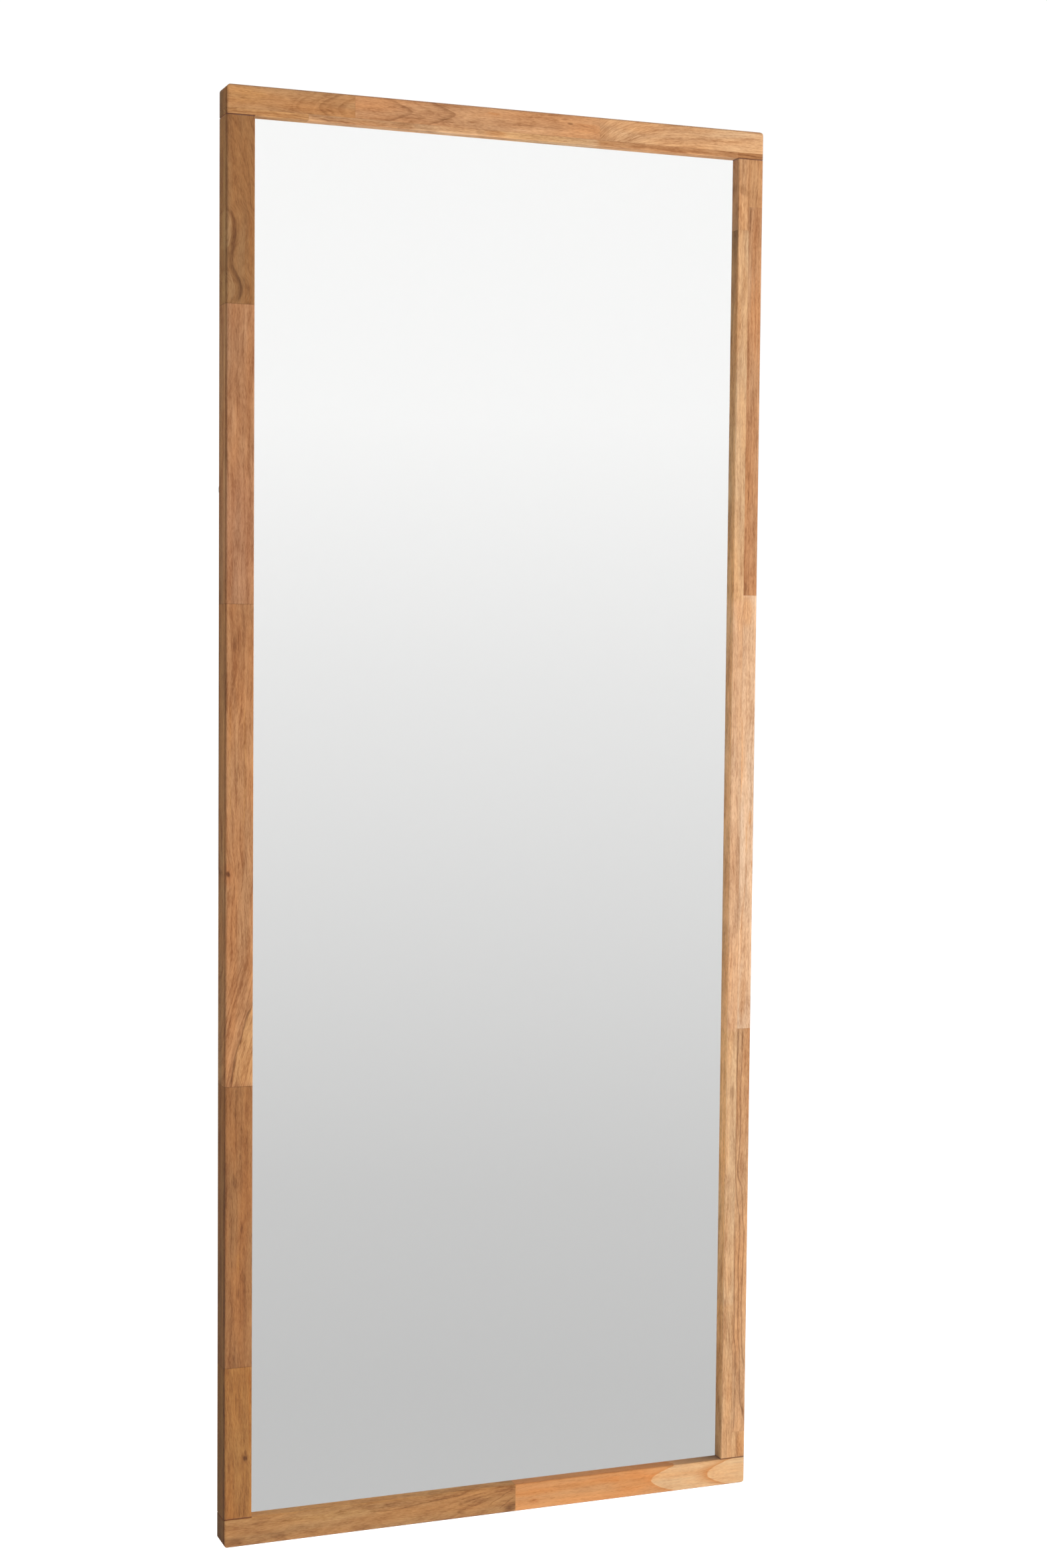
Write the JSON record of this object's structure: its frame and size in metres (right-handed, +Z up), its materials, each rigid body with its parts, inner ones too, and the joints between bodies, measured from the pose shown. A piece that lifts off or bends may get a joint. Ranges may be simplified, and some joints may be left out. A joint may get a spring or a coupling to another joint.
{
  "type": "full-length mirror",
  "caption": "Full-length mirror in an oak frame glued up from staves, with a backing board held by turn buttons and ring hangers for a wall.",
  "frame": {"origin": "under the middle of the bottom rail, half way through the whole depth from the front of the frame to the wall bumpers", "axes": "+X right as seen from the front, +Y towards the wall, +Z up"},
  "size_m": [0.6, 0.036, 1.5],
  "materials": {
    "oak": "oiled oak staves, satin",
    "beech": "fluted beech dowel",
    "foam": "closed-cell foam, matt",
    "glass": "clear float glass with ground edges",
    "packer": "matt",
    "silvering": "silvered, with grey safety film behind",
    "white_foam": "double-sided foam tape",
    "board": "fibreboard, raw",
    "steel": "bright zinc plate",
    "zinc": "bright zinc plate",
    "rubber": "matt moulded rubber"
  },
  "bodies": {
    "frame": {"top_rail_upper_stave_1": "oak", "top_rail_upper_stave_2": "oak", "top_rail_upper_stave_3": "oak", "top_rail_lower_stave_1": "oak", "top_rail_lower_stave_2": "oak", "top_rail_lower_stave_3": "oak", "bottom_rail_stave_1": "oak", "bottom_rail_stave_2": "oak", "left_stile_stave_1": "oak", "left_stile_stave_2": "oak", "left_stile_stave_3": "oak", "left_stile_stave_4": "oak", "left_stile_stave_5": "oak", "right_stile_outer_stave_1": "oak", "right_stile_outer_stave_2": "oak", "right_stile_outer_stave_3": "oak", "right_stile_outer_stave_4": "oak", "right_stile_outer_stave_5": "oak", "right_stile_inner_stave_1": "oak", "right_stile_inner_stave_2": "oak", "corner_dowels": "beech", "glazing_tape_top": "foam", "glazing_tape_bottom": "foam", "glazing_tape_left": "foam", "glazing_tape_right": "foam", "mirror_glass": "glass", "glass_packers": "packer", "mirror_silvering": "silvering", "mounting_tape": "white_foam", "backing_board": "board", "turn_button_screws": "zinc", "left_hanger_strap": "steel", "right_hanger_strap": "steel", "hanger_screws": "zinc", "bumper_top_left": "rubber", "bumper_top_right": "rubber", "bumper_bottom_left": "rubber", "bumper_bottom_right": "rubber"},
    "left_turn_button_low": {"left_turn_button_low": "steel"},
    "left_turn_button_middle": {"left_turn_button_middle": "steel"},
    "left_turn_button_high": {"left_turn_button_high": "steel"},
    "right_turn_button_low": {"right_turn_button_low": "steel"},
    "right_turn_button_middle": {"right_turn_button_middle": "steel"},
    "right_turn_button_high": {"right_turn_button_high": "steel"},
    "top_turn_button": {"top_turn_button": "steel"},
    "bottom_turn_button": {"bottom_turn_button": "steel"},
    "left_hanger_ring": {"left_hanger_ring": "zinc"},
    "right_hanger_ring": {"right_hanger_ring": "zinc"}
  },
  "joints": [
    {"name": "left_turn_button_low_pivot", "type": "hinge", "parent": "frame", "child": "left_turn_button_low", "pos_m": [-0.29, 0.01305, 0.2], "axis": [0, 1, 0], "continuous": true},
    {"name": "left_turn_button_middle_pivot", "type": "hinge", "parent": "frame", "child": "left_turn_button_middle", "pos_m": [-0.29, 0.01305, 0.75], "axis": [0, 1, 0], "continuous": true},
    {"name": "left_turn_button_high_pivot", "type": "hinge", "parent": "frame", "child": "left_turn_button_high", "pos_m": [-0.29, 0.01305, 1.3], "axis": [0, 1, 0], "continuous": true},
    {"name": "right_turn_button_low_pivot", "type": "hinge", "parent": "frame", "child": "right_turn_button_low", "pos_m": [0.29, 0.01305, 0.2], "axis": [0, 1, 0], "continuous": true},
    {"name": "right_turn_button_middle_pivot", "type": "hinge", "parent": "frame", "child": "right_turn_button_middle", "pos_m": [0.29, 0.01305, 0.75], "axis": [0, 1, 0], "continuous": true},
    {"name": "right_turn_button_high_pivot", "type": "hinge", "parent": "frame", "child": "right_turn_button_high", "pos_m": [0.29, 0.01305, 1.3], "axis": [0, 1, 0], "continuous": true},
    {"name": "top_turn_button_pivot", "type": "hinge", "parent": "frame", "child": "top_turn_button", "pos_m": [0, 0.01305, 1.49], "axis": [0, 1, 0], "continuous": true},
    {"name": "bottom_turn_button_pivot", "type": "hinge", "parent": "frame", "child": "bottom_turn_button", "pos_m": [0, 0.01305, 0.01], "axis": [0, 1, 0], "continuous": true},
    {"name": "left_hanger_ring_hinge", "type": "hinge", "parent": "frame", "child": "left_hanger_ring", "pos_m": [-0.29, 0.01475, 1.1], "axis": [1, 0, 0], "range_deg": [0, 180]},
    {"name": "right_hanger_ring_hinge", "type": "hinge", "parent": "frame", "child": "right_hanger_ring", "pos_m": [0.29, 0.01475, 1.1], "axis": [1, 0, 0], "range_deg": [0, 180]}
  ]
}
